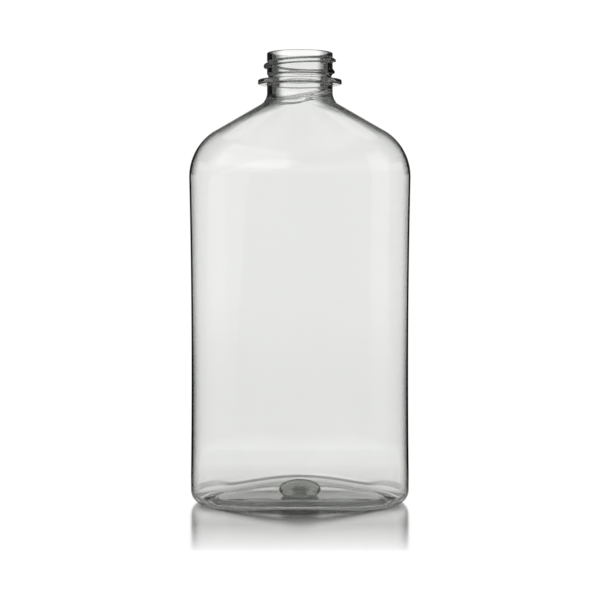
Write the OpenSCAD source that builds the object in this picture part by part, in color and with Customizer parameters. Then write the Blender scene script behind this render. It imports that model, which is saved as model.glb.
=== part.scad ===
// Clear oval bottle with a screw neck, one blown moulding shown as its zones.
// Lengths are in millimetres. +Z is up, X is the wide way, the front faces -Y,
// and the origin is on the surface it stands on, under the middle of the neck.

/* [Body] */
// Overall height, from the foot to the top of the mouth
total_h = 172.2; // [160:0.1:220]
// Widest width across the oval
body_w = 84.3; // [76:0.1:92]
// Depth of the oval, front to back
body_d = 54; // [48:0.5:62]
// Radius of the shallow arcs at the front and the back
panel_r = 57; // [52:0.5:90]
// How far the side wall draws in at its waist
waist_in = 0.5; // [0:0.05:2]
// Thickness of the blown wall
wall_t = 0.6; // [0.4:0.05:1.4]

/* [Shoulder] */
// Height of the shoulder, from the widest line to the foot of the neck
shoulder_h = 31.9; // [29:0.1:45]
// Radius where the shoulder turns down into the side wall
shoulder_r = 20.8; // [10:0.1:23]
// Radius where the neck opens out into the shoulder
neck_fillet_r = 5; // [2:0.1:7]

/* [Neck finish] */
// Outside diameter over the thread
thread_d = 27.4; // [24:0.05:32]
// Height of the thread above the neck wall
thread_h = 1.225; // [0.8:0.025:1.5]
// Thickness of the neck wall behind the thread
neck_wall_t = 1.625; // [1.4:0.025:2.5]
// Height of the plain collar below the support ring
collar_h = 3; // [1:0.1:6]
// Height of the finish, from the support ring to the rim
finish_h = 10.1; // [9.8:0.1:14]
// How far the wall is relieved just above the support ring
groove_in = 0.45; // [0.1:0.05:0.7]
// Height of that relief
groove_h = 2.2; // [1:0.1:4]
// Radius on the outer edge of the rim
rim_edge_r = 0.4; // [0.1:0.05:0.7]
// Radius on the inner edge of the rim
bore_edge_r = 0.3; // [0.1:0.05:0.6]

/* [Support ring] */
// How far the support ring stands out from the neck wall
ring_out = 3.425; // [2:0.025:6]
// Thickness of the support ring
ring_t = 1.85; // [1.2:0.05:3]
// Radius on the edges of the support ring
ring_edge_r = 0.45; // [0.1:0.05:0.55]

/* [Thread] */
// Rise of the thread in one turn
pitch = 4.23; // [3:0.01:4.4]
// Number of turns
turns = 1.2; // [0.8:0.05:1.25]
// Width of the flat crest
crest_w = 0.7; // [0.3:0.05:0.8]
// Axial run of the steep flank, on the underside
under_run = 0.3; // [0.1:0.05:0.4]
// Axial run of the sloping flank, on the upper side
upper_run = 1.2; // [0.6:0.05:1.25]
// Height of the crest's middle at the lower end, above the support ring
thread_start_h = 2.6; // [1.1:0.05:2.7]

/* [Base] */
// Height of the base zone
base_h = 10.5; // [9.5:0.1:14]
// Radius of the heel, where the side wall turns under
heel_r = 5; // [3:0.1:6.5]
// How far the foot ring rises in the middle of the front and the back
arch_h = 1.9; // [0:0.1:2.5]
// Width over which the foot ring rises there
arch_w = 66; // [40:1:72]
// Width of the foot ring
foot_w = 3.4; // [1.5:0.1:4]
// Thickness of the moulding over the foot ring
foot_t = 1; // [0.6:0.05:1.6]
// Width of the slope from the foot ring up into the recess
recess_slope_w = 2.4; // [1:0.1:3]
// Height of the recess, above the foot ring
recess_h = 1.4; // [0.6:0.1:1.8]
// Thickness of the moulding over the recess
recess_t = 1.2; // [0.8:0.05:1.8]
// Radius of the centre dome, on the underside
dome_r = 7.2; // [4:0.1:8]
// Height of the centre dome above the recess, on the underside
dome_h = 4.2; // [1:0.1:4.5]
// Thickness of the centre dome
dome_t = 1.8; // [0.9:0.05:2.2]

/* [Hidden] */
// Round parts are true circles, drawn with this many steps
$fn = 120;
// Points round each oval ring
ring_n = 60;
// Steps in the curves: waist, shoulder arc, neck fillet, heel, recess slope, recess floor,
// dome, small edge radii
waist_n = 8;
arc_n = 7;
fillet_n = 4;
heel_n = 6;
slope_n = 4;
floor_n = 3;
dome_n = 4;
edge_n = 5;
// Steps of the thread in one turn, and points across its seat on the neck
thread_n = 48;
seat_n = 4;
// Share of a turn over which each end of the thread fades in
fade_share = 0.09;
// Where the lower end of the thread lies, as an angle from +X
thread_start_a = 338;
clear_tint = [0.86, 0.88, 0.87, 0.55];
base_tint = [0.72, 0.74, 0.71, 0.7];

half_w = body_w / 2;
half_d = body_d / 2;
thread_r = thread_d / 2;
neck_r = thread_r - thread_h;
bore_r = neck_r - neck_wall_t;
ring_r = neck_r + ring_out;
ring_top_z = total_h - finish_h;
ring_low_z = ring_top_z - ring_t;
neck_z = ring_low_z - collar_h;
shoulder_z = neck_z - shoulder_h;
wall_mid_z = (shoulder_z + base_h) / 2;
wall_half_h = (shoulder_z - base_h) / 2;
groove_r = neck_r - groove_in;
groove_top_z = ring_top_z + groove_h;

// The oval is four arcs that meet smoothly: two shallow panels and two round ends
end_r = (2 * panel_r * half_d - half_d * half_d - half_w * half_w) / (2 * (panel_r - half_w));
end_x = half_w - end_r;
panel_y = panel_r - half_d;
join_a = atan2(panel_y, end_x);

// Point of the oval whose outward normal has angle t, drawn in along that normal
function oval_point(t, inset) =
    abs(sin(t)) < sin(join_a)
    ? [sign(cos(t)) * end_x + (end_r - inset) * cos(t), (end_r - inset) * sin(t)]
    : [(panel_r - inset) * cos(t), (panel_r - inset) * sin(t) - sign(sin(t)) * panel_y];

function round_point(t, r) = [r * cos(t), r * sin(t)];
function mix(a, b, u) = a + (b - a) * u;
function at_z(p, z) = [p[0], p[1], z];
function turn(i) = 360 * i / ring_n;

// Smooth step from 0 to 1
function ease(u) = (1 - cos(180 * u)) / 2;

// Ring of the oval at height z, drawn in by inset
function oval_ring(z, inset) = [for (i = [0 : ring_n - 1]) at_z(oval_point(turn(i), inset), z)];

function round_ring(z, r) = [for (i = [0 : ring_n - 1]) at_z(round_point(turn(i), r), z)];

// Skin over rings of equal length that follow each other round a closed section.
// With poles, the first and last rings are closed to the points given.
module skin(rings, poles = []) {
    n = len(rings[0]);
    count = len(rings);
    last = len(poles) == 0 ? count - 1 : count - 2;
    points = [for (ring = rings) for (p = ring) p];
    sides = [for (k = [0 : last]) for (i = [0 : n - 1])
        let (j = (i + 1) % n, up = (k + 1) % count)
        each [[k * n + i, up * n + i, up * n + j], [k * n + i, up * n + j, k * n + j]]];
    caps = len(poles) == 0 ? [] : [for (i = [0 : n - 1])
        let (j = (i + 1) % n, top = (count - 1) * n)
        each [[count * n, i, j], [count * n + 1, top + j, top + i]]];
    polyhedron(points = concat(points, poles), faces = concat(sides, caps));
}

// Shoulder: for every direction, a convex arc, a straight slope and a concave
// fillet run from the oval up to the round neck
function slope_angle(reach, low_r, high_r) =
    let (both = low_r + high_r, across = reach - both)
    atan2(shoulder_h, across) - asin(both / norm([across, shoulder_h]));

// Distance in from the oval and height above the widest line, at step k of the curve
function shoulder_step(k, reach, low_r, high_r) =
    let (bend = 90 - slope_angle(reach, low_r, high_r))
    k <= arc_n
    ? let (a = bend * k / arc_n) [low_r * (1 - cos(a)), low_r * sin(a)]
    : let (a = bend * (1 - (k - arc_n - 1) / fillet_n))
        [reach - high_r * (1 - cos(a)), shoulder_h - high_r * sin(a)];

function shoulder_ring(k, inset, top_r, low_r, high_r) =
    [for (i = [0 : ring_n - 1])
        let (t = turn(i),
             low = oval_point(t, inset),
             top = round_point(t, top_r),
             reach = norm(low - top),
             step = shoulder_step(k, reach, low_r, high_r))
        at_z(mix(low, top, step[0] / reach), shoulder_z + step[1])];

module shoulder() {
    steps = arc_n + fillet_n + 1;
    outside = [for (k = [0 : steps])
        shoulder_ring(k, 0, neck_r, shoulder_r, neck_fillet_r)];
    inside = [for (k = [steps : -1 : 0])
        shoulder_ring(k, wall_t, bore_r, shoulder_r - wall_t, neck_fillet_r + neck_r - bore_r)];
    color(clear_tint) skin(concat(outside, inside));
}

// Side wall: the oval drawn in along a shallow arc
function waist(z) = waist_in * (1 - pow((z - wall_mid_z) / wall_half_h, 2));

module side_wall() {
    levels = [for (k = [0 : waist_n]) mix(base_h, shoulder_z, k / waist_n)];
    outside = [for (z = levels) oval_ring(z, waist(z))];
    inside = [for (k = [waist_n : -1 : 0]) oval_ring(levels[k], waist(levels[k]) + wall_t)];
    color(clear_tint) skin(concat(outside, inside));
}

// Base: heel, foot ring, recess and centre dome, outside and inside.
// It stands on the two ends of the foot ring, which rises between them.
recess_edge = heel_r + foot_w + recess_slope_w;
function lift(x) = arch_h * (1 + cos(180 * min(1, 2 * abs(x) / arch_w))) / 2;

// Ring of the oval, drawn in by inset, at height z above the arched foot
function foot_ring(z, inset) = [for (i = [0 : ring_n - 1])
    let (p = oval_point(turn(i), inset))
    at_z(p, z + lift(p[0]))];

// Ring between the edge of the recess and the round foot of the dome
function floor_ring(u, r, z) = [for (i = [0 : ring_n - 1])
    let (edge = oval_point(turn(i), recess_edge))
    at_z(mix(edge, round_point(turn(i), r), u), z + lift(edge[0]) * (1 - ease(u)))];

// Dome from its foot at share 0 to its top at share 1
function dome_ring(u, r, low_z, high_z) = round_ring(mix(low_z, high_z, sin(90 * u)), r * cos(90 * u));

function heel_ring(u) = foot_ring(heel_r * (1 - sin(90 * u)), heel_r * (1 - cos(90 * u)));
function inner_heel_ring(u) =
    foot_ring(mix(foot_t, heel_r, 1 - sin(90 * u)), mix(wall_t, heel_r, 1 - cos(90 * u)));

module base() {
    inner_h = recess_h + recess_t;
    under_top = recess_h + dome_h;
    inner_top = under_top + dome_t;
    inner_r = dome_r + dome_t / 2;
    slope_in = heel_r + foot_w;
    under = concat(
        [for (k = [dome_n - 1 : -1 : 0]) dome_ring(k / dome_n, dome_r, recess_h, under_top)],
        [for (k = [floor_n - 1 : -1 : 0]) floor_ring(k / floor_n, dome_r, recess_h)],
        [for (k = [slope_n - 1 : -1 : 0])
            foot_ring(recess_h * ease(k / slope_n), mix(slope_in, recess_edge, k / slope_n))]);
    heel = [for (k = [heel_n : -1 : 0]) heel_ring(k / heel_n)];
    wall = [oval_ring(base_h, 0), oval_ring(base_h, wall_t)];
    inside = concat(
        [for (k = [0 : heel_n]) inner_heel_ring(k / heel_n)],
        [for (k = [1 : slope_n])
            foot_ring(mix(foot_t, inner_h, ease(k / slope_n)), mix(heel_r, recess_edge, k / slope_n))],
        [for (k = [1 : floor_n]) floor_ring(k / floor_n, inner_r, inner_h)],
        [for (k = [1 : dome_n - 1]) dome_ring(k / dome_n, inner_r, inner_h, inner_top)]);
    color(base_tint)
    skin(concat(under, heel, wall, inside), [[0, 0, under_top], [0, 0, inner_top]]);
}

// Neck: one outline turned about its axis
function arc_points(centre, r, a0, a1, n) =
    [for (k = [0 : n]) centre + round_point(mix(a0, a1, k / n), r)];

module neck_finish() {
    outside = concat(
        [[neck_r, neck_z], [neck_r, ring_top_z], [groove_r, ring_top_z],
         [groove_r, groove_top_z - groove_in], [neck_r, groove_top_z]],
        arc_points([neck_r - rim_edge_r, total_h - rim_edge_r], rim_edge_r, 0, 90, edge_n));
    inside = concat(
        arc_points([bore_r + bore_edge_r, total_h - bore_edge_r], bore_edge_r, 90, 180, edge_n),
        [[bore_r, neck_z]]);
    color(clear_tint) rotate_extrude() polygon(concat(outside, inside));
}

module support_ring() {
    edge = ring_r - ring_edge_r;
    color(clear_tint) rotate_extrude() polygon(concat(
        [[neck_r, ring_low_z]],
        arc_points([edge, ring_low_z + ring_edge_r], ring_edge_r, -90, 0, edge_n),
        arc_points([edge, ring_top_z - ring_edge_r], ring_edge_r, 0, 90, edge_n),
        [[neck_r, ring_top_z]]));
}

// Thread: one helical bead whose height fades in at both ends
thread_steps = round(turns * thread_n);
fade_steps = max(1, round(fade_share * thread_n));

function bead_part(k) = min(1, (k + 1) / (fade_steps + 1), (thread_steps - k + 1) / (fade_steps + 1));

// Radius of the neck's surface at height z, relieved just above the support ring
function neck_surface(z) = mix(groove_r, neck_r, max(0, min(1, (z - groove_top_z + groove_in) / groove_in)));

// The bead's straight steps lie just outside the round neck and touch it in their middles
function seat_point(z) = [neck_surface(z) / cos(180 / thread_n), z];

function bead_section(k) =
    let (a = thread_start_a + 360 * k / thread_n,
         z = ring_top_z + thread_start_h + pitch * k / thread_n,
         crest = mix(neck_r, thread_r, bead_part(k)),
         low_z = z - crest_w / 2,
         high_z = z + crest_w / 2,
         foot = low_z - under_run,
         head = high_z + upper_run,
         seat = [for (j = [0 : seat_n - 1]) seat_point(mix(head, foot, j / seat_n))],
         points = concat([seat_point(foot), [crest, low_z], [crest, high_z]], seat))
    [for (p = points) at_z(round_point(a, p[0]), p[1])];

module neck_thread() {
    sections = [for (k = [0 : thread_steps]) bead_section(k)];
    n = len(sections[0]);
    sides = [for (k = [0 : thread_steps - 1]) for (i = [0 : n - 1])
        let (j = (i + 1) % n)
        each [[k * n + i, k * n + j, (k + 1) * n + j], [k * n + i, (k + 1) * n + j, (k + 1) * n + i]]];
    // Each end is a fan from the crest, since the seat's points lie in a line
    ends = [for (i = [2 : n - 1])
        let (j = (i + 1) % n, far = thread_steps * n)
        each [[1, j, i], [far + 1, far + i, far + j]]];
    color(clear_tint)
    polyhedron(points = [for (s = sections) for (p = s) p], faces = concat(sides, ends));
}

neck_finish();
neck_thread();
support_ring();
shoulder();
side_wall();
base();
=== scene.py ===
import math

import bpy
import numpy as np
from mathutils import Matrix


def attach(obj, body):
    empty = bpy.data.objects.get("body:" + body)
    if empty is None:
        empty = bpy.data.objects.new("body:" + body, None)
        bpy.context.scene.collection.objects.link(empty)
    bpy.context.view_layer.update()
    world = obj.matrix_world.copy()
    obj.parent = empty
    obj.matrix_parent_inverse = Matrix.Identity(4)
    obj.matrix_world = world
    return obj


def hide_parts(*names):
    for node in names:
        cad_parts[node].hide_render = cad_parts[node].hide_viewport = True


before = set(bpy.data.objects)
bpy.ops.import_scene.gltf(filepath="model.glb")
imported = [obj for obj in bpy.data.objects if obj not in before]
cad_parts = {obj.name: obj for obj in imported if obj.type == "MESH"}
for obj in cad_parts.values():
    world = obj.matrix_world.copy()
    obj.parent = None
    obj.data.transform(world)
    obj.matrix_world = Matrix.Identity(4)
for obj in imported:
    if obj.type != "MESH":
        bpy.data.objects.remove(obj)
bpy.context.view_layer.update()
print("frame loaded:", sorted(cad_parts))

millimetre = 0.001

# the oval, the heights and the walls of the moulding, all in millimetres
bottle = {
    "height": 172.2,
    "width": 84.3,
    "depth": 54.0,
    "panelRadius": 57.0,          # shallow arcs at the front and the back
    "waistIn": 0.5,
    "shoulderFoot": 125.35,
    "shoulderHeight": 31.9,
    "shoulderRadius": 20.8,
    "neckFillet": 5.0,
    "wall": 0.5,
    "endWall": 0.42,              # the blown wall is thinner at the two ends
    "endWallCurve": 3,
    "shoulderWall": 0.55,
    "columns": 240,
    "skirtRows": 25,              # from the heel up to the waisted wall
    "wallRows": 34,
    "arcRows": 22,
    "slopeRows": 12,
    "filletRows": 14,
}

neck = {
    "radius": 12.475,
    "boreRadius": 10.85,
    "collarFoot": 157.25,
    "collarGap": 0.5,
    "collarRows": 5,
    "ringFoot": 160.25,
    "ringTop": 162.1,
    "ringRadius": 15.9,
    "ringEdge": 0.45,
    "ringRoot": 0.35,             # small fillets where the ring meets the wall
    "reliefIn": 0.45,
    "reliefTop": 164.3,
    "rimEdge": 0.4,
    "boreEdge": 0.3,
    "boreFrom": 1.0,              # the bore has rows from this far below the rim
    "boreTo": 0.4,                # to this far above the collar's foot
    "boreRows": 16,
    "rootSteps": 5,
    "edgeSteps": 7,
    "rimSteps": 8,
    "ringShares": (0.25, 0.5, 0.75),
    "rimShares": (0.33, 0.67),
    "thinStart": 3.2,             # along the wall, from the collar's foot down to where it thins
    "thinRun": 2.2,
    "thinTilt": 1.8,              # the thick part reaches further down on one side
    "thinTiltAngle": 185.0,
}

thread = {
    "height": 1.225,
    "pitch": 4.23,
    "turns": 1.2,
    "crest": 0.7,
    "underRun": 0.42,
    "upperRun": 1.25,
    "startHeight": 2.6,
    "startAngle": 338.0,
    "fade": 0.12,
    "rowStep": 0.1,
}

foot = {
    "baseHeight": 10.5,
    "heelRadius": 5.0,
    "heelRows": 46,
    "archHeight": 1.9,
    "archWidth": 66.0,
    "ringWidth": 3.4,
    "ringRows": 6,
    "ringWall": (0.55, 0.95),     # at the front and at the back
    "ringBlend": 8.0,             # distance from the middle over which one gives way to the other
    "bandMiddle": (2.9, 1.6),     # heights between which the wall thickens, at the front and back
    "bandEnds": (5.2, 2.6),       # and at the two ends
    "bandFrom": (26.0, 34.0),     # distance from the middle over which one gives way to the other
    "thinEnd": (39.0, 42.0),      # the thickening dies out towards the very ends
    "slopeWidth": 2.4,
    "slopeRows": 12,
    "recessHeight": 1.4,
    "recessWall": 1.0,
    "recessRows": 24,
    "insideSlopeRows": 20,
    "insideRecessRows": 30,
    "domeRadius": 4.8,            # where it meets the recess
    "domeWide": 7.0,              # it bulges a little above that
    "domeHeight": 5.1,
    "domeWall": 2.0,
    "domeInside": (5.4, 8.1),     # the same two radii on the inside
    "domeRows": 18,
    "domeSpan": (0.04, 0.97),     # the share of each run that has rows of its own, so that no two rows meet
    "recessSpan": (0.03, 1.0),
    "slopeSpan": (0.08, 1.0),
    "ringSpan": (0.15, 1.0),
    "rippleHeight": 0.09,
    "rippleStart": 9.0,
    "rippleEnd": 17.0,
    "rippleLength": 1.7,
}

angles = np.arange(bottle["columns"]) * 2 * np.pi / bottle["columns"]
across, along = np.cos(angles), np.sin(angles)

halfWidth, halfDepth = bottle["width"] / 2, bottle["depth"] / 2
panelRadius = bottle["panelRadius"]
endRadius = (2 * panelRadius * halfDepth - halfDepth ** 2 - halfWidth ** 2) / (2 * (panelRadius - halfWidth))
endCentre = halfWidth - endRadius
panelCentre = panelRadius - halfDepth
joinSine = math.sin(math.atan2(panelCentre, endCentre))
recessEdge = foot["heelRadius"] + foot["ringWidth"] + foot["slopeWidth"]


def ease(u):
    return (1 - np.cos(np.pi * np.clip(u, 0, 1))) / 2


def mix(a, b, u):
    return a + (b - a) * u


def ovalRing(z, inset):
    # four arcs, drawn in along their own normals
    onEnd = np.abs(along) < joinSine
    endX = np.sign(across) * endCentre + (endRadius - inset) * across
    panelY = (panelRadius - inset) * along - np.sign(along) * panelCentre
    x = np.where(onEnd, endX, (panelRadius - inset) * across)
    y = np.where(onEnd, (endRadius - inset) * along, panelY)
    return np.stack([x, y, np.zeros_like(x) + z], axis=1)


def roundRing(z, radius):
    return np.stack([radius * across, radius * along, np.zeros_like(across) + z], axis=1)


def lift(x):
    # the foot ring rises in the middle of the front and the back
    return foot["archHeight"] * (1 + np.cos(np.pi * np.minimum(1, 2 * np.abs(x) / foot["archWidth"]))) / 2


def footRing(z, inset):
    ring = ovalRing(z, inset)
    ring[:, 2] += lift(ring[:, 0])
    return ring


def ringWall(y):
    return mix(*foot["ringWall"], ease((y + foot["ringBlend"]) / (2 * foot["ringBlend"])))


def waist(z):
    middle = (bottle["shoulderFoot"] + foot["baseHeight"]) / 2
    half = (bottle["shoulderFoot"] - foot["baseHeight"]) / 2
    return bottle["waistIn"] * (1 - ((z - middle) / half) ** 2)


def ripple(radius):
    # faint rings that the stretched plastic leaves round the dome
    inside = (radius > foot["rippleStart"]) & (radius < foot["rippleEnd"])
    fade = ease((foot["rippleEnd"] - radius) / (foot["rippleEnd"] - foot["rippleStart"]))
    wave = np.sin(2 * np.pi * (radius - foot["rippleStart"]) / foot["rippleLength"])
    return np.where(inside, foot["rippleHeight"] * fade * wave, 0)


def recessRing(u, radius, z, rippled):
    edge = footRing(0, recessEdge)
    inner = roundRing(0, radius)
    ring = mix(edge, inner, u)
    ring[:, 2] = z + edge[:, 2] * (1 - ease(u))
    if rippled:
        ring[:, 2] += ripple(np.hypot(ring[:, 0], ring[:, 1]))
    return ring


def domeRing(u, narrow, wide, low, high):
    start = math.acos(narrow / wide)
    turn = mix(-start, math.pi / 2, u)
    half = (high - low) / (1 + math.sin(start))
    return roundRing(high - half + half * math.sin(turn), wide * math.cos(turn))


def undersideRows():
    # from the middle of the dome outwards, seen from below
    low = foot["recessHeight"]
    high = low + foot["domeHeight"]
    narrow, wide = foot["domeRadius"], foot["domeWide"]
    slopeStart = foot["heelRadius"] + foot["ringWidth"]
    domeShares = np.linspace(*foot["domeSpan"][::-1], foot["domeRows"])
    recessShares = np.linspace(*foot["recessSpan"][::-1], foot["recessRows"])
    rows = [domeRing(u, narrow, wide, low, high) for u in domeShares]
    rows += [recessRing(u, narrow, low, False) for u in recessShares]
    for u in np.linspace(*foot["slopeSpan"][::-1], foot["slopeRows"]):
        rows.append(footRing(low * ease(u), mix(slopeStart, recessEdge, u)))
    for u in np.linspace(*foot["ringSpan"][::-1], foot["ringRows"]):
        rows.append(footRing(0, mix(foot["heelRadius"], slopeStart, u)))
    return rows


def heelRows():
    radius = foot["heelRadius"]
    turns = np.linspace(math.pi / 2, 0.0, foot["heelRows"])
    return [footRing(radius * (1 - math.sin(a)), radius * (1 - math.cos(a))) for a in turns]


def wallRows():
    # straight from the heel up to the waisted wall, then up to the shoulder
    low = footRing(foot["heelRadius"], 0)
    top = ovalRing(foot["baseHeight"], 0)
    rows = [mix(low, top, u) for u in np.linspace(0, 1, bottle["skirtRows"])[1:]]
    heights = np.linspace(foot["baseHeight"], bottle["shoulderFoot"], bottle["wallRows"])[1:-1]
    return rows + [ovalRing(z, waist(z)) for z in heights]


def shoulderRow(part, u):
    low = ovalRing(0, 0)
    top = roundRing(0, neck["radius"])
    reach = np.linalg.norm(low - top, axis=1)
    lowRadius, highRadius = bottle["shoulderRadius"], bottle["neckFillet"]
    both, height = lowRadius + highRadius, bottle["shoulderHeight"]
    slope = np.arctan2(height, reach - both) - np.arcsin(both / np.hypot(reach - both, height))
    bend = np.pi / 2 - slope
    lowInset, lowRise = lowRadius * (1 - np.cos(bend)), lowRadius * np.sin(bend)
    highInset, highRise = reach - highRadius * (1 - np.cos(bend)), height - highRadius * np.sin(bend)
    if part == "arc":
        inset, rise = lowRadius * (1 - np.cos(bend * u)), lowRadius * np.sin(bend * u)
    elif part == "slope":
        inset, rise = mix(lowInset, highInset, u), mix(lowRise, highRise, u)
    else:
        turn = bend * (1 - u)
        inset, rise = reach - highRadius * (1 - np.cos(turn)), height - highRadius * np.sin(turn)
    ring = mix(low, top, (inset / reach)[:, None])
    ring[:, 2] = bottle["shoulderFoot"] + rise
    return ring


def shoulderRows():
    rows = [shoulderRow("arc", u) for u in np.linspace(0, 1, bottle["arcRows"])]
    rows += [shoulderRow("slope", u) for u in np.linspace(0, 1, bottle["slopeRows"])[1:-1]]
    return rows + [shoulderRow("fillet", u) for u in np.linspace(0, 1, bottle["filletRows"])]


def collarRows():
    heights = np.linspace(neck["collarFoot"], neck["ringFoot"] - neck["collarGap"], neck["collarRows"])
    return [roundRing(z, neck["radius"]) for z in heights[1:]]


def arc(centre, radius, start, end, steps):
    turns = np.radians(np.linspace(start, end, steps))
    return [(centre[0] + radius * math.cos(a), centre[1] + radius * math.sin(a)) for a in turns]


def supportRingRows():
    wall, outer, edge, root = neck["radius"], neck["ringRadius"], neck["ringEdge"], neck["ringRoot"]
    low, high = neck["ringFoot"], neck["ringTop"]
    relief = wall - neck["reliefIn"]
    line = arc((wall + root, low - root), root, 180, 90, neck["rootSteps"])
    line += [(mix(wall + root, outer - edge, u), low) for u in neck["ringShares"]]
    line += arc((outer - edge, low + edge), edge, -90, 0, neck["edgeSteps"])
    line += arc((outer - edge, high - edge), edge, 0, 90, neck["edgeSteps"])
    line += [(mix(outer - edge, relief + root, u), high) for u in neck["ringShares"]]
    line += arc((relief + root, high + root), root, 270, 180, neck["rootSteps"])
    return [roundRing(z, r) for r, z in line]


def threadHeight(z):
    # height of the bead above the neck wall, for every column at height z
    total = np.zeros_like(angles)
    start = math.radians(thread["startAngle"])
    flat = thread["crest"] / 2
    for whole in range(-1, 3):
        turned = (angles - start) / (2 * np.pi) + whole
        inside = (turned >= 0) & (turned <= thread["turns"])
        crestZ = neck["ringTop"] + thread["startHeight"] + thread["pitch"] * turned
        offset = z - crestZ
        under = ease((offset + flat + thread["underRun"]) / thread["underRun"])
        upper = ease((flat + thread["upperRun"] - offset) / thread["upperRun"])
        ends = ease(turned / thread["fade"]) * ease((thread["turns"] - turned) / thread["fade"])
        total = np.maximum(total, np.where(inside, thread["height"] * np.minimum(under, upper) * ends, 0))
    return total


def neckRows():
    relief = neck["reliefIn"]
    start, end = neck["ringTop"] + neck["ringRoot"], bottle["height"] - neck["rimEdge"]
    rows = []
    for z in np.arange(start + thread["rowStep"], end, thread["rowStep"]):
        inward = relief * (1 - ease((z - neck["reliefTop"] + 2 * relief) / (2 * relief)))
        rows.append(roundRing(z, neck["radius"] - inward + threadHeight(z)))
    return rows


def rimRows():
    outer, bore = neck["rimEdge"], neck["boreEdge"]
    top = bottle["height"]
    line = arc((neck["radius"] - outer, top - outer), outer, 0, 90, neck["rimSteps"])
    line += [(mix(neck["radius"] - outer, neck["boreRadius"] + bore, u), top) for u in neck["rimShares"]]
    line += arc((neck["boreRadius"] + bore, top - bore), bore, 90, 180, neck["edgeSteps"])
    return [roundRing(z, r) for r, z in line]


def boreRows():
    top, low = bottle["height"] - neck["boreFrom"], neck["collarFoot"] + neck["boreTo"]
    return [roundRing(z, neck["boreRadius"]) for z in np.linspace(top, low, neck["boreRows"])]


def normalsOf(rows):
    grid = np.array(rows)
    around = np.roll(grid, -1, axis=1) - np.roll(grid, 1, axis=1)
    upward = np.gradient(grid, axis=0)
    normal = np.cross(around, upward)
    return normal / np.linalg.norm(normal, axis=2)[:, :, None]


def wallThickness(rows):
    # thickness of the blown wall at every point of the outside, heel to collar
    grid = np.array(rows)
    x, y, z = grid[:, :, 0], grid[:, :, 1], grid[:, :, 2]
    thinning = (bottle["endWall"] - bottle["wall"]) * np.abs(across)[None, :] ** bottle["endWallCurve"]
    wall = np.broadcast_to(bottle["wall"] + thinning, z.shape).copy()
    fromMiddle, toEnds = foot["bandFrom"]
    side = ease((np.abs(x) - fromMiddle) / (toEnds - fromMiddle))
    bandTop = mix(foot["bandMiddle"][0], foot["bandEnds"][0], side)
    bandFoot = mix(foot["bandMiddle"][1], foot["bandEnds"][1], side)
    endFrom, endTo = foot["thinEnd"]
    heelWall = mix(ringWall(y), bottle["endWall"], ease((np.abs(x) - endFrom) / (endTo - endFrom)))
    wall = mix(wall, heelWall, np.clip((bandTop - (z - lift(x))) / (bandTop - bandFoot), 0, 1))
    wall = mix(wall, bottle["shoulderWall"], ease((z - bottle["shoulderFoot"]) / bottle["shoulderHeight"]))
    steps = np.linalg.norm(np.diff(grid, axis=0), axis=2)
    down = np.concatenate([np.cumsum(steps[::-1], axis=0)[::-1], np.zeros((1, z.shape[1]))])
    tilt = neck["thinTilt"] * np.cos(angles - math.radians(neck["thinTiltAngle"]))
    thick = ease(1 - (down - neck["thinStart"] - tilt[None, :]) / neck["thinRun"])
    return mix(wall, neck["radius"] - neck["boreRadius"], thick)


def insideBaseRows():
    low = foot["recessHeight"] + foot["recessWall"]
    high = foot["recessHeight"] + foot["domeHeight"] + foot["domeWall"]
    narrow, wide = foot["domeInside"]
    rows = []
    for u in np.linspace(0, 1, foot["insideSlopeRows"])[1:]:
        ring = footRing(0, mix(foot["heelRadius"], recessEdge, u))
        ring[:, 2] += mix(ringWall(ring[:, 1]), low, ease(u))
        rows.append(ring)
    recessShares = np.linspace(*foot["recessSpan"], foot["insideRecessRows"])
    domeShares = np.linspace(*foot["domeSpan"], foot["domeRows"])
    rows += [recessRing(u, narrow, low, True) for u in recessShares]
    return rows + [domeRing(u, narrow, wide, low, high) for u in domeShares]


def closedMesh(name, rows, firstPole, lastPole):
    count = bottle["columns"]
    points = np.concatenate([*rows, [firstPole], [lastPole]]) * millimetre
    column = np.arange(count)
    nextColumn = (column + 1) % count
    quads = []
    for k in range(len(rows) - 1):
        below, above = k * count, (k + 1) * count
        corners = [below + column, below + nextColumn, above + nextColumn, above + column]
        quads.append(np.stack(corners, axis=1))
    faces = [tuple(q) for q in np.concatenate(quads).tolist()]
    poleA, poleB, last = len(rows) * count, len(rows) * count + 1, (len(rows) - 1) * count
    faces += [(poleA, int(b), int(a)) for a, b in zip(column, nextColumn)]
    faces += [(poleB, last + int(a), last + int(b)) for a, b in zip(column, nextColumn)]
    mesh = bpy.data.meshes.new(name)
    mesh.from_pydata([tuple(p) for p in points.tolist()], [], faces)
    mesh.validate()
    mesh.shade_smooth()
    obj = bpy.data.objects.new(name, mesh)
    bpy.context.scene.collection.objects.link(obj)
    return obj


def buildBottle():
    under, collar = undersideRows(), collarRows()
    outside = heelRows() + wallRows() + shoulderRows() + collar
    inside = np.array(outside) - normalsOf(outside) * wallThickness(outside)[:, :, None]
    keep = len(outside) - len(collar)                # the straight bore takes over at the collar
    rows = under + outside + supportRingRows() + neckRows() + rimRows() + boreRows()
    rows += [inside[k] for k in range(keep - 1, -1, -1)] + insideBaseRows()
    top = foot["recessHeight"] + foot["domeHeight"]
    obj = closedMesh("bottle", rows, (0, 0, top), (0, 0, top + foot["domeWall"]))

    # marks the outside of the heel, for the plastic's painted edge shade
    onHeel = np.zeros(len(obj.data.vertices))
    first = len(under) * bottle["columns"]
    onHeel[first:first + foot["heelRows"] * bottle["columns"]] = 1
    obj.data.attributes.new("heelTurn", "FLOAT", "POINT").data.foreach_set("value", onHeel)
    print("bottle:", len(obj.data.vertices), "points in", len(rows), "rows")
    return obj


# short forms for the nodes of the plastic, the sheet and the studio
def feed(tree, socket, value):
    # another node's output is linked, a number or a colour is set
    if isinstance(value, bpy.types.NodeSocket):
        tree.links.new(value, socket)
    else:
        socket.default_value = value


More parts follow.
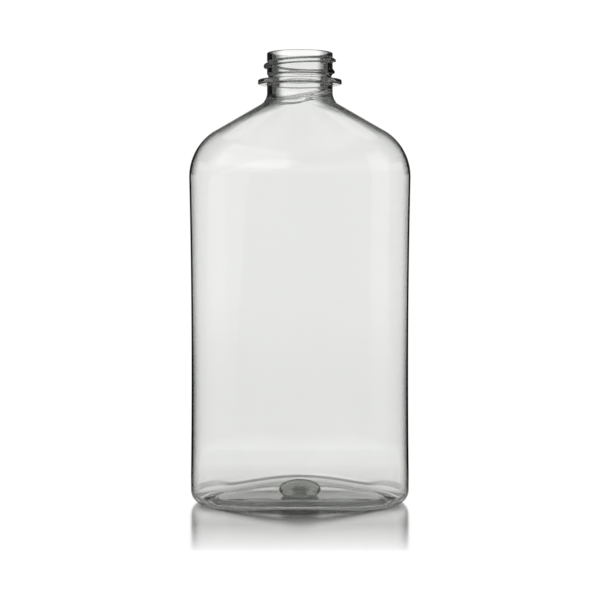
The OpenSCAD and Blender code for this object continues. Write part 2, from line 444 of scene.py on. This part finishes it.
def maths(tree, kind, *values):
    made = tree.nodes.new("ShaderNodeMath")
    made.operation = kind
    for socket, value in zip(made.inputs, values):
        feed(tree, socket, value)
    return made.outputs[0]


def times(tree, a, b):
    return maths(tree, "MULTIPLY", a, b)


def rest(tree, share):
    # what a share leaves of the whole
    return maths(tree, "SUBTRACT", 1.0, share)


def vectorMaths(tree, kind, *values):
    made = tree.nodes.new("ShaderNodeVectorMath")
    made.operation = kind
    for socket, value in zip(made.inputs, values):
        feed(tree, socket, value)
    return made.outputs["Value" if kind == "LENGTH" else "Vector"]


def ramp(tree, value, start, end, low=0.0, high=1.0, soft=False):
    made = tree.nodes.new("ShaderNodeMapRange")
    made.interpolation_type = "SMOOTHSTEP" if soft else "LINEAR"
    names = ("Value", "From Min", "From Max", "To Min", "To Max")
    for name, given in zip(names, (value, start, end, low, high)):
        feed(tree, made.inputs[name], given)
    return made.outputs["Result"]


def mixColours(tree, share, first, second):
    made = tree.nodes.new("ShaderNodeMix")
    made.data_type = "RGBA"
    for k, given in ((0, share), (6, first), (7, second)):
        feed(tree, made.inputs[k], given)
    return made.outputs[2]


def axesOf(tree, vector):
    made = tree.nodes.new("ShaderNodeSeparateXYZ")
    tree.links.new(vector, made.inputs[0])
    return made.outputs


def solid(colour, shift=0.0):
    return (*[c + shift for c in colour], 1)


# clear plastic: slightly grey, with faint flow marks, and painted shade at the edges and on the knob
plastic = {
    "tint": (0.90, 0.905, 0.893),
    "tintShift": 0.02,
    "tintScale": 18.0,
    "tintDetail": 2.0,
    "paintedEdgeShade": (0.16, 0.17, 0.155),     # painted shade where the wall is seen edge on and looks dark
    # height, and how far edge on, 0 to 1, the painted edge shade starts and is full there
    "edges": [(0.125, 0.45, 0.88), (0.133, 0.54, 0.86), (0.147, 0.52, 0.86), (0.1545, 0.14, 0.36)],
    "flatEdges": (0.84, 0.98),           # the same two limits on level faces of the foot
    "flatFrom": (0.90, 0.975),           # how level a face is where these take over
    "footZone": (0.004, 0.012),
    "heelEdges": (-0.15, -0.30),         # change of the limits on the turn of the heel and the recess's slope
    "heelFrom": (0.60, 0.80),
    "heelZone": (0.0025, 0.0040),
    "knobShade": (0.38, 0.39, 0.36),          # painted shade: the knob in the middle of the foot is drawn darker
    "knobZone": (0.0080, 0.0095),
    "knobFoot": (0.0035, 0.0050),
    "knobTop": (0.010, 0.012),
    "ior": 1.575,
    "roughness": (0.0, 0.0035),          # a touch of unevenness in the gloss
    "roughFrom": (0.45, 0.8),
    "roughScale": 260.0,
    "roughDetail": 2.0,
    "flowScale": 30.0,
    "flowDetail": 1.0,
    "flowBump": 0.02,
    "flowDepth": 0.001,
    "absorbColour": (0.70, 0.72, 0.68),
    "absorbDensity": 20.0,
}


def clearPlastic():
    material = bpy.data.materials.new("clearPlastic")
    material.use_nodes = True
    tree = material.node_tree
    tree.nodes.clear()
    output = tree.nodes.new("ShaderNodeOutputMaterial")
    shader = tree.nodes.new("ShaderNodeBsdfPrincipled")
    shader.inputs["IOR"].default_value = plastic["ior"]
    shader.inputs["Transmission Weight"].default_value = 1.0
    place = tree.nodes.new("ShaderNodeTexCoord").outputs["Object"]
    height = axesOf(tree, place)[2]

    def noise(scale, octaves):
        made = tree.nodes.new("ShaderNodeTexNoise")
        made.inputs["Scale"].default_value = scale
        made.inputs["Detail"].default_value = octaves
        tree.links.new(place, made.inputs["Vector"])
        return made.outputs["Fac"]

    # where the wall counts as level, and where it turns at the heel
    surface = tree.nodes.new("ShaderNodeNewGeometry")
    level = maths(tree, "ABSOLUTE", axesOf(tree, surface.outputs["Normal"])[2])
    marked = tree.nodes.new("ShaderNodeAttribute")
    marked.attribute_name = "heelTurn"
    flat = ramp(tree, level, *plastic["flatFrom"])
    flat = times(tree, flat, ramp(tree, height, *plastic["footZone"], 1.0, 0.0))
    turning = ramp(tree, level, *plastic["heelFrom"])
    heel = times(tree, turning, ramp(tree, level, *plastic["flatFrom"], 1.0, 0.0))
    heel = times(tree, heel, ramp(tree, height, *plastic["heelZone"], 1.0, 0.0))
    heel = maths(tree, "ADD", heel, times(tree, flat, marked.outputs["Fac"]))
    flat = times(tree, flat, rest(tree, marked.outputs["Fac"]))

    # how far edge on the painted edge shade starts and is full, by height and by the two zones above
    knots = plastic["edges"]
    limits = []
    for k in (1, 2):
        limit = ramp(tree, height, knots[0][0], knots[1][0], knots[0][k], knots[1][k])
        for low, high in zip(knots[1:], knots[2:]):
            limit = maths(tree, "ADD", limit, ramp(tree, height, low[0], high[0], 0.0, high[k] - low[k]))
        limit = maths(tree, "ADD", limit, times(tree, flat, plastic["flatEdges"][k - 1] - knots[0][k]))
        limits.append(maths(tree, "ADD", limit, times(tree, heel, plastic["heelEdges"][k - 1])))
    facing = tree.nodes.new("ShaderNodeLayerWeight")
    facing.inputs["Blend"].default_value = 0.5
    edge = ramp(tree, facing.outputs["Facing"], *limits, soft=True)

    # painted shade darkens the knob, within a radius and between two heights
    radius = vectorMaths(tree, "LENGTH", vectorMaths(tree, "MULTIPLY", place, (1, 1, 0)))
    knobShade = ramp(tree, radius, *plastic["knobZone"], 1.0, 0.0)
    knobShade = times(tree, knobShade, ramp(tree, height, *plastic["knobTop"], 1.0, 0.0))
    knobShade = times(tree, knobShade, ramp(tree, height, *plastic["knobFoot"]))

    shift = plastic["tintShift"] / 2
    clouds = noise(plastic["tintScale"], plastic["tintDetail"])
    tint = mixColours(tree, clouds, solid(plastic["tint"], -shift), solid(plastic["tint"], shift))
    tint = mixColours(tree, knobShade, tint, solid(plastic["knobShade"]))
    # painted shade where the wall is seen edge on, laid over the tint in the base colour
    tree.links.new(mixColours(tree, edge, tint, solid(plastic["paintedEdgeShade"])), shader.inputs["Base Color"])

    scuffs = noise(plastic["roughScale"], plastic["roughDetail"])
    rough = ramp(tree, scuffs, *plastic["roughFrom"], *plastic["roughness"])
    tree.links.new(rough, shader.inputs["Roughness"])

    bump = tree.nodes.new("ShaderNodeBump")
    bump.inputs["Strength"].default_value = plastic["flowBump"]
    bump.inputs["Distance"].default_value = plastic["flowDepth"]
    tree.links.new(noise(plastic["flowScale"], plastic["flowDetail"]), bump.inputs["Height"])
    tree.links.new(bump.outputs["Normal"], shader.inputs["Normal"])

    absorb = tree.nodes.new("ShaderNodeVolumeAbsorption")
    absorb.inputs["Color"].default_value = solid(plastic["absorbColour"])
    absorb.inputs["Density"].default_value = plastic["absorbDensity"]
    tree.links.new(shader.outputs["BSDF"], output.inputs["Surface"])
    tree.links.new(absorb.outputs["Volume"], output.inputs["Volume"])
    return material


bottleObject = buildBottle()
bottleObject.data.materials.append(clearPlastic())
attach(bottleObject, "root")
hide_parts("neck_finish", "neck_thread", "support_ring", "shoulder", "side_wall", "base")
print("bottle dressed")

# a glossy pale sheet that fades out round the bottle
floor = {
    "half": 0.12,
    "level": -0.00005,
    "colour": (0.97, 0.97, 0.97),
    "shade": (0.20, 0.205, 0.196),    # under the bottle, which keeps the light off the sheet
    "shadeOval": (0.040, 0.021),
    "shadeMiddle": -0.003,            # a little in front of the middle
    "shadeFrom": 0.74,
    "gapOval": (0.016, 0.010),        # light comes in under the raised middle of the foot
    "gapMiddle": -0.018,
    "gapLight": 0.45,
    "roughness": (0.24, 0.15),        # close to the bottle and further out
    "roughOut": (0.030, 0.060),
    "fadeX": (0.032, 0.060),
    "fadeY": (0.036, 0.0715),
    "fadeCurve": 0.6,
}


def buildFloor():
    mesh = bpy.data.meshes.new("floor")
    h, z = floor["half"], floor["level"]
    mesh.from_pydata([(-h, -h, z), (h, -h, z), (h, h, z), (-h, h, z)], [], [(0, 1, 2, 3)])
    obj = bpy.data.objects.new("floor", mesh)
    bpy.context.scene.collection.objects.link(obj)
    material = bpy.data.materials.new("floorSheet")
    material.use_nodes = True
    tree = material.node_tree
    tree.nodes.clear()
    output = tree.nodes.new("ShaderNodeOutputMaterial")
    gloss = tree.nodes.new("ShaderNodeBsdfGlossy")
    clear = tree.nodes.new("ShaderNodeBsdfTransparent")
    mixer = tree.nodes.new("ShaderNodeMixShader")
    place = tree.nodes.new("ShaderNodeTexCoord").outputs["Object"]
    split = axesOf(tree, place)

    def kept(axis, fade):
        share = ramp(tree, maths(tree, "ABSOLUTE", split[axis]), *fade, 1.0, 0.0)
        return maths(tree, "POWER", share, floor["fadeCurve"])

    def oval(middle, radii, start, inner, outer):
        # a soft oval on the sheet: what it gives in its middle, and outside it
        moved = vectorMaths(tree, "SUBTRACT", place, (0, middle, 0))
        scaled = vectorMaths(tree, "MULTIPLY", moved, (1 / radii[0], 1 / radii[1], 0))
        return ramp(tree, vectorMaths(tree, "LENGTH", scaled), start, 1.0, inner, outer, soft=True)

    rough = ramp(tree, vectorMaths(tree, "LENGTH", place), *floor["roughOut"], *floor["roughness"])
    tree.links.new(rough, gloss.inputs["Roughness"])
    shaded = oval(floor["shadeMiddle"], floor["shadeOval"], floor["shadeFrom"], 0.0, 1.0)
    opened = oval(floor["gapMiddle"], floor["gapOval"], 0.0, floor["gapLight"], 0.0)
    lit = maths(tree, "MAXIMUM", shaded, opened)
    tone = mixColours(tree, lit, solid(floor["shade"]), solid(floor["colour"]))
    tree.links.new(tone, gloss.inputs["Color"])

    # the sheet isn't there from below
    below = tree.nodes.new("ShaderNodeNewGeometry").outputs["Backfacing"]
    shown = times(tree, times(tree, kept(0, floor["fadeX"]), kept(1, floor["fadeY"])), rest(tree, below))
    tree.links.new(shown, mixer.inputs["Fac"])
    tree.links.new(clear.outputs[0], mixer.inputs[1])
    tree.links.new(gloss.outputs[0], mixer.inputs[2])
    tree.links.new(mixer.outputs[0], output.inputs["Surface"])
    mesh.materials.append(material)


buildFloor()
print("sheet laid")

# the studio round the bottle, as soft-edged windows of light on a pale room, and dark cards
# angles in degrees, 0 across is behind the bottle as the camera sees it, 180 is the camera's side
# a lamp isn't seen straight through the body
# an early card darkens only light that hasn't met the sheet or the bottle's own floor
studio = {
    "white": 1.02,
    "room": 0.86,
    "windows": [
        {"across": (-11.5, 11.5), "up": (-14.0, 17.0), "soft": 1.5, "level": 0.26},
        {"across": (11.5, 36.0), "up": (-14.0, 17.0), "soft": 1.5, "level": -0.83},
        {"across": (-36.0, -11.5), "up": (-14.0, 17.0), "soft": 1.5, "level": -0.83},
        {"across": (36.0, 66.0), "up": (3.0, 17.0), "soft": 1.5, "level": -0.83},
        {"across": (-66.0, -36.0), "up": (3.0, 17.0), "soft": 1.5, "level": -0.83},
        {"across": (-100.0, 100.0), "up": (17.0, 50.0), "soft": 2.0, "side": 8.0, "level": -0.72,
         "early": True},
        {"across": (-181.0, -100.0), "up": (26.0, 91.0), "soft": 18.0, "side": 8.0, "level": -0.4,
         "early": True},
        {"across": (100.0, 181.0), "up": (26.0, 91.0), "soft": 18.0, "side": 8.0, "level": -0.4,
         "early": True},
        {"across": (-139.0, -104.0), "up": (-12.0, 35.0), "soft": 1.0, "lean": 1.5, "level": 0.4,
         "lamp": True},
        {"across": (-172.0, -108.0), "up": (16.0, 50.0), "soft": 7.0, "level": 0.7, "lamp": True},
        {"across": (105.0, 122.0), "up": (-12.0, 35.0), "soft": 3.0, "level": 0.5, "lamp": True},
        {"across": (-120.0, -104.0), "up": (-12.0, 35.0), "soft": 6.0, "level": 0.25, "lamp": True},
        {"across": (-181.0, 181.0), "up": (-91.0, -15.0), "soft": 5.0, "level": 0.15},
    ],
    # limits of a ray's depth, which is 2 after one surface and 5 straight through the body's four
    "oneSurface": 2.5,
    "twoSurfaces": 3.5,
    "threeSurfaces": 4.5,
    "fourSurfaces": 5.5,
    "openSky": (24.0, 4.0),       # from this angle up they darken nothing straight through the body
    "insideLoss": 0.65,           # light that turned back inside a wall comes out weaker
    "deepLoss": 0.85,             # and weaker again after more turns
    "lossTop": (8.5, 1.0),
    "lateLoss": 0.22,             # light that met the sheet or the bottle's own floor on the way
    "sheetFrom": (7.0, 1.0),      # the sheet mirrors a lighter room from this angle up
    "sheetSky": 0.15,             # how much of the overhead light it shows through the bottle
    "sheetSkyFrom": (19.5, 2.0),
    "sheetSkyAcross": (-20.0, 20.0),
    "sheetSkySide": 8.0,
    "groundSheen": 0.08,          # the bottle's own gloss shows next to nothing of the pale ground
    "groundTop": (-6.0, 4.0),
}


def buildStudio():
    world = bpy.data.worlds.new("studio")
    bpy.context.scene.world = world
    world.use_nodes = True
    tree = world.node_tree
    tree.nodes.clear()
    split = axesOf(tree, tree.nodes.new("ShaderNodeTexCoord").outputs["Generated"])
    across = times(tree, maths(tree, "ARCTAN2", split[0], split[1]), 180 / math.pi)
    up = times(tree, maths(tree, "ARCSINE", split[2]), 180 / math.pi)
    path = tree.nodes.new("ShaderNodeLightPath").outputs
    count, through = path["Ray Depth"], path["Is Transmission Ray"]

    def rise(value, middle, soft):
        return ramp(tree, value, middle - soft / 2, middle + soft / 2, soft=True)

    def fall(value, middle, soft):
        return ramp(tree, value, middle - soft / 2, middle + soft / 2, 1.0, 0.0, soft=True)

    def band(value, edges, soft):
        return times(tree, rise(value, edges[0], soft), fall(value, edges[1], soft))

    def past(name):
        return maths(tree, "GREATER_THAN", count, studio[name])

    def between(low, high):
        return times(tree, past(low), maths(tree, "LESS_THAN", count, studio[high]))

    late = past("fourSurfaces")
    lateThrough = times(tree, late, through)
    plain = between("threeSurfaces", "fourSurfaces")
    cardsKept = rest(tree, times(tree, plain, rise(up, *studio["openSky"])))
    level = studio["room"]
    for window in studio["windows"]:
        leaning = maths(tree, "ADD", across, times(tree, up, window.get("lean", 0.0)))
        sides = band(leaning, window["across"], window.get("side", window["soft"]))
        light = times(tree, times(tree, sides, band(up, window["up"], window["soft"])), window["level"])
        if window.get("lamp"):
            light = times(tree, light, rest(tree, plain))
        if window.get("early"):
            light = times(tree, times(tree, light, rest(tree, lateThrough)), cardsKept)
        level = maths(tree, "ADD", level, light)

    # light that wandered through the walls is weaker
    deep = between("twoSurfaces", "threeSurfaces")
    lost = maths(tree, "ADD", times(tree, deep, studio["insideLoss"]), times(tree, late, studio["deepLoss"]))
    level = times(tree, level, rest(tree, times(tree, lost, fall(up, *studio["lossTop"]))))
    level = times(tree, level, rest(tree, times(tree, lateThrough, studio["lateLoss"])))

    # the sheet on the floor mirrors a lighter room overhead
    mirror = rest(tree, through)
    sheet = times(tree, times(tree, path["Is Glossy Ray"], rise(up, *studio["sheetFrom"])), mirror)
    sheet = times(tree, sheet, rest(tree, path["Is Singular Ray"]))
    dimmed = times(tree, past("oneSurface"), rise(up, *studio["sheetSkyFrom"]))
    dimmed = times(tree, dimmed, 1 - studio["sheetSky"])
    dimmed = times(tree, dimmed, band(across, studio["sheetSkyAcross"], studio["sheetSkySide"]))
    sheet = times(tree, sheet, rest(tree, dimmed))
    level = times(tree, level, rest(tree, sheet))
    level = maths(tree, "ADD", level, times(tree, sheet, studio["white"] / floor["colour"][0]))

    # and the outside of the bottle mirrors a dark ground, which draws its thin dark outline
    once = times(tree, rest(tree, past("oneSurface")), fall(up, *studio["groundTop"]))
    twice = between("oneSurface", "twoSurfaces")
    dark = times(tree, times(tree, maths(tree, "MAXIMUM", once, twice), mirror), 1 - studio["groundSheen"])
    level = times(tree, level, rest(tree, dark))

    # straight from the camera the backdrop is plain white from every side
    seen = path["Is Camera Ray"]
    level = maths(tree, "ADD", times(tree, level, rest(tree, seen)), times(tree, seen, studio["white"]))
    back = tree.nodes.new("ShaderNodeBackground")
    back.inputs["Color"].default_value = (1, 1, 1, 1)
    tree.links.new(level, back.inputs["Strength"])
    output = tree.nodes.new("ShaderNodeOutputWorld")
    tree.links.new(back.outputs[0], output.inputs["Surface"])


buildStudio()
print("studio built")

camera = {
    "lens": 77.1,
    "sensor": 36.0,
    "distance": 0.4918,
    "height": 0.1159,
    "side": 0.00005,
    "down": 4.35,
    "clip": (0.01, 20.0),
    "bounces": 32,
    "glossyBounces": 16,
    "clearBounces": 16,
}


def placeCamera():
    data = bpy.data.cameras.new("camera")
    data.lens = camera["lens"]
    data.sensor_width = camera["sensor"]
    data.clip_start, data.clip_end = camera["clip"]
    obj = bpy.data.objects.new("camera", data)
    obj.location = (camera["side"], -camera["distance"], camera["height"])
    obj.rotation_euler = (math.radians(90 - camera["down"]), 0, 0)
    scene = bpy.context.scene
    scene.collection.objects.link(obj)
    scene.camera = obj
    scene.view_settings.view_transform = "Standard"
    scene.view_settings.look = "None"
    scene.cycles.max_bounces = camera["bounces"]
    scene.cycles.transmission_bounces = camera["bounces"]
    scene.cycles.glossy_bounces = camera["glossyBounces"]
    scene.cycles.transparent_max_bounces = camera["clearBounces"]


placeCamera()
print("camera placed")
